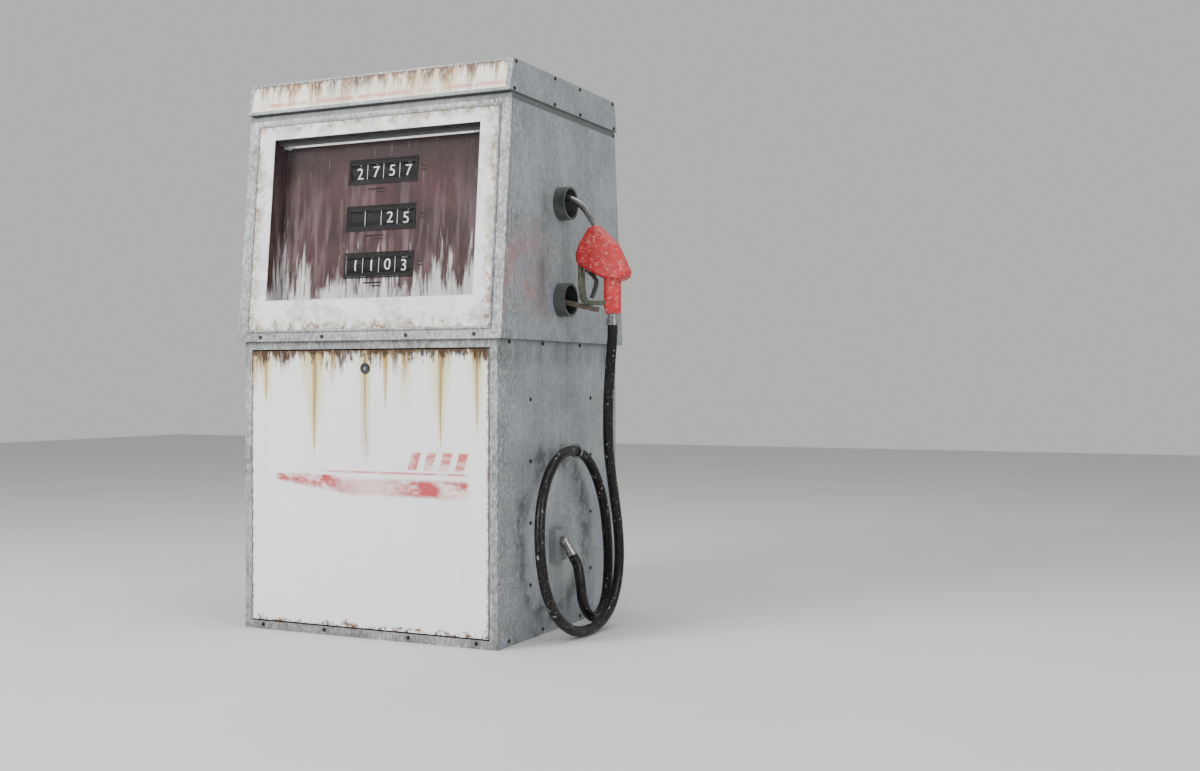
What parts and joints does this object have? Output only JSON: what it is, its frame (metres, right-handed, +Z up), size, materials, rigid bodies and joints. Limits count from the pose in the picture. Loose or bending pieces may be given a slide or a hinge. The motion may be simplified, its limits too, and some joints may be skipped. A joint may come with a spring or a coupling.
{
  "type": "fuel dispenser",
  "caption": "Free-standing fuel dispenser with mechanical number wheels behind glass, a tilting cabinet door and a side-hung nozzle on a long hose.",
  "frame": {"origin": "centre of the four anchor bolt holes, on the floor plane under the cabinet", "axes": "+X to the nozzle side, -Y to the front with the door and display, +Z up"},
  "size_m": [1.208, 0.8774, 1.75],
  "materials": {
    "galvanised": "weathered zinc",
    "frame_paint": "matte",
    "door_paint": "weathered gloss with rust",
    "fascia_paint": "weathered gloss",
    "surround_paint": "dirty gloss",
    "motor_paint": "satin",
    "castings": "matte",
    "valve_paint": "satin",
    "pipes": "matte",
    "belt_rubber": "matte",
    "pulleys": "machined",
    "steel": "satin",
    "lock_metal": "satin",
    "glass": "dusty clear",
    "dial_paint": "faded",
    "lamp_glass": "frosted",
    "lamp_plastic": "matte",
    "screws": "dark",
    "cup_paint": "gloss",
    "arm_steel": "rusty",
    "nozzle_metal": "cast",
    "nozzle_plastic": "worn",
    "spout_steel": "worn",
    "guard_metal": "mossy",
    "trigger_metal": "satin",
    "fittings": "worn",
    "outlet_paint": "satin",
    "hose_rubber": "chipped",
    "wheel_plastic": "printed digits"
  },
  "bodies": {
    "dispenser": {"base_frame": "frame_paint", "corner_frame": "frame_paint", "left_side_panel": "galvanised", "right_side_panel": "galvanised", "rear_panel": "galvanised", "front_surround": "galvanised", "equipment_shelf": "frame_paint", "electric_motor": "motor_paint", "pump_unit": "castings", "flow_meter": "castings", "solenoid_valve": "valve_paint", "suction_pipe": "pipes", "discharge_pipes": "pipes", "drive_belt": "belt_rubber", "head_floor": "frame_paint", "head_left_panel": "galvanised", "head_right_panel": "galvanised", "head_rear_panel": "galvanised", "head_front_frame": "galvanised", "display_surround": "surround_paint", "display_glass": "glass", "display_box": "dial_paint", "dial_plate": "dial_paint", "lamp_tube": "lamp_glass", "lamp_holders": "lamp_plastic", "register_frame": "frame_paint", "cap_shell": "galvanised", "cap_fascia": "fascia_paint", "panel_screws": "screws", "spout_cup": "cup_paint", "rest_cup": "cup_paint", "outlet_box": "outlet_paint", "outlet_elbow": "fittings", "hose_clip": "fittings", "hose": "hose_rubber"},
    "door": {"front_door": "door_paint", "lock_barrel": "lock_metal"},
    "lock": {"lock_plug": "steel"},
    "nozzle": {"nozzle_body": "nozzle_metal", "nozzle_cover": "nozzle_plastic", "nozzle_spout": "spout_steel", "nozzle_guard": "guard_metal"},
    "trigger": {"nozzle_trigger": "trigger_metal"},
    "swivel": {"nozzle_swivel": "fittings"},
    "rest_arm": {"rest_lever": "arm_steel"},
    "motor_drive": {"motor_pulley": "pulleys"},
    "pump_drive": {"pump_pulley": "pulleys"},
    "meter_drive": {"meter_shaft": "steel"},
    "total_thousands_wheel": {"total_thousands": "wheel_plastic"},
    "total_hundreds_wheel": {"total_hundreds": "wheel_plastic"},
    "total_tens_wheel": {"total_tens": "wheel_plastic"},
    "total_units_wheel": {"total_units": "wheel_plastic"},
    "volume_thousands_wheel": {"volume_thousands": "wheel_plastic"},
    "volume_hundreds_wheel": {"volume_hundreds": "wheel_plastic"},
    "volume_tens_wheel": {"volume_tens": "wheel_plastic"},
    "volume_units_wheel": {"volume_units": "wheel_plastic"},
    "price_thousands_wheel": {"price_thousands": "wheel_plastic"},
    "price_hundreds_wheel": {"price_hundreds": "wheel_plastic"},
    "price_tens_wheel": {"price_tens": "wheel_plastic"},
    "price_units_wheel": {"price_units": "wheel_plastic"}
  },
  "joints": [
    {"name": "door_tilt", "type": "hinge", "parent": "dispenser", "child": "door", "pos_m": [0, -0.412, 0.042], "axis": [1, 0, 0], "range_deg": [0, 85]},
    {"name": "lock_turn", "type": "hinge", "parent": "door", "child": "lock", "pos_m": [0, -0.42, 0.829], "axis": [0, -1, 0], "range_deg": [0, 90]},
    {"name": "nozzle_pull", "type": "slide", "parent": "dispenser", "child": "nozzle", "axis": [0.9848, 0, 0.1736], "range_m": [0, 0.14]},
    {"name": "rest_lift", "type": "hinge", "parent": "dispenser", "child": "rest_arm", "pos_m": [0.482, -0.048, 1.043], "axis": [0, -1, 0], "range_deg": [0, 11.3]},
    {"name": "trigger_squeeze", "type": "hinge", "parent": "nozzle", "child": "trigger", "pos_m": [0.578, -0.048, 1.136], "axis": [0, -1, 0], "range_deg": [0, 18], "stiffness_Nm_per_rad": 1.5},
    {"name": "swivel_turn", "type": "hinge", "parent": "nozzle", "child": "swivel", "pos_m": [0.663, -0.048, 1], "axis": [0, 0, 1], "continuous": true},
    {"name": "pump_turn", "type": "hinge", "parent": "dispenser", "child": "pump_drive", "pos_m": [0.16, -0.077, 0.294], "axis": [0, 1, 0], "continuous": true},
    {"name": "motor_turn", "type": "hinge", "parent": "dispenser", "child": "motor_drive", "pos_m": [-0.24, -0.077, 0.294], "axis": [0, 1, 0], "continuous": true},
    {"name": "meter_turn", "type": "hinge", "parent": "dispenser", "child": "meter_drive", "pos_m": [0, -0.2, 0.9], "axis": [0, 0, 1], "continuous": true},
    {"name": "total_thousands_turn", "type": "hinge", "parent": "dispenser", "child": "total_thousands_wheel", "pos_m": [-0.09, -0.25522, 1.44339], "axis": [1, 0, 0], "continuous": true},
    {"name": "total_hundreds_turn", "type": "hinge", "parent": "dispenser", "child": "total_hundreds_wheel", "pos_m": [-0.03, -0.25522, 1.44339], "axis": [1, 0, 0], "continuous": true},
    {"name": "total_tens_turn", "type": "hinge", "parent": "dispenser", "child": "total_tens_wheel", "pos_m": [0.03, -0.25522, 1.44339], "axis": [1, 0, 0], "continuous": true},
    {"name": "total_units_turn", "type": "hinge", "parent": "dispenser", "child": "total_units_wheel", "pos_m": [0.09, -0.25522, 1.44339], "axis": [1, 0, 0], "continuous": true},
    {"name": "volume_thousands_turn", "type": "hinge", "parent": "dispenser", "child": "volume_thousands_wheel", "pos_m": [-0.09, -0.26906, 1.29504], "axis": [1, 0, 0], "continuous": true},
    {"name": "volume_hundreds_turn", "type": "hinge", "parent": "dispenser", "child": "volume_hundreds_wheel", "pos_m": [-0.03, -0.26906, 1.29504], "axis": [1, 0, 0], "continuous": true},
    {"name": "volume_tens_turn", "type": "hinge", "parent": "dispenser", "child": "volume_tens_wheel", "pos_m": [0.03, -0.26906, 1.29504], "axis": [1, 0, 0], "continuous": true},
    {"name": "volume_units_turn", "type": "hinge", "parent": "dispenser", "child": "volume_units_wheel", "pos_m": [0.09, -0.26906, 1.29504], "axis": [1, 0, 0], "continuous": true},
    {"name": "price_thousands_turn", "type": "hinge", "parent": "dispenser", "child": "price_thousands_wheel", "pos_m": [-0.09, -0.28291, 1.14668], "axis": [1, 0, 0], "continuous": true},
    {"name": "price_hundreds_turn", "type": "hinge", "parent": "dispenser", "child": "price_hundreds_wheel", "pos_m": [-0.03, -0.28291, 1.14668], "axis": [1, 0, 0], "continuous": true},
    {"name": "price_tens_turn", "type": "hinge", "parent": "dispenser", "child": "price_tens_wheel", "pos_m": [0.03, -0.28291, 1.14668], "axis": [1, 0, 0], "continuous": true},
    {"name": "price_units_turn", "type": "hinge", "parent": "dispenser", "child": "price_units_wheel", "pos_m": [0.09, -0.28291, 1.14668], "axis": [1, 0, 0], "continuous": true}
  ],
  "couplings": [
    {"joint": "rest_lift", "follows": "nozzle_pull", "rad_per_m": 1.4},
    {"joint": "motor_turn", "follows": "pump_turn", "ratio": 2},
    {"joint": "total_tens_turn", "follows": "total_units_turn", "ratio": 0.1},
    {"joint": "total_hundreds_turn", "follows": "total_units_turn", "ratio": 0.01},
    {"joint": "total_thousands_turn", "follows": "total_units_turn", "ratio": 0.001},
    {"joint": "volume_tens_turn", "follows": "volume_units_turn", "ratio": 0.1},
    {"joint": "volume_hundreds_turn", "follows": "volume_units_turn", "ratio": 0.01},
    {"joint": "volume_thousands_turn", "follows": "volume_units_turn", "ratio": 0.001},
    {"joint": "meter_turn", "follows": "volume_units_turn", "ratio": 5}
  ]
}
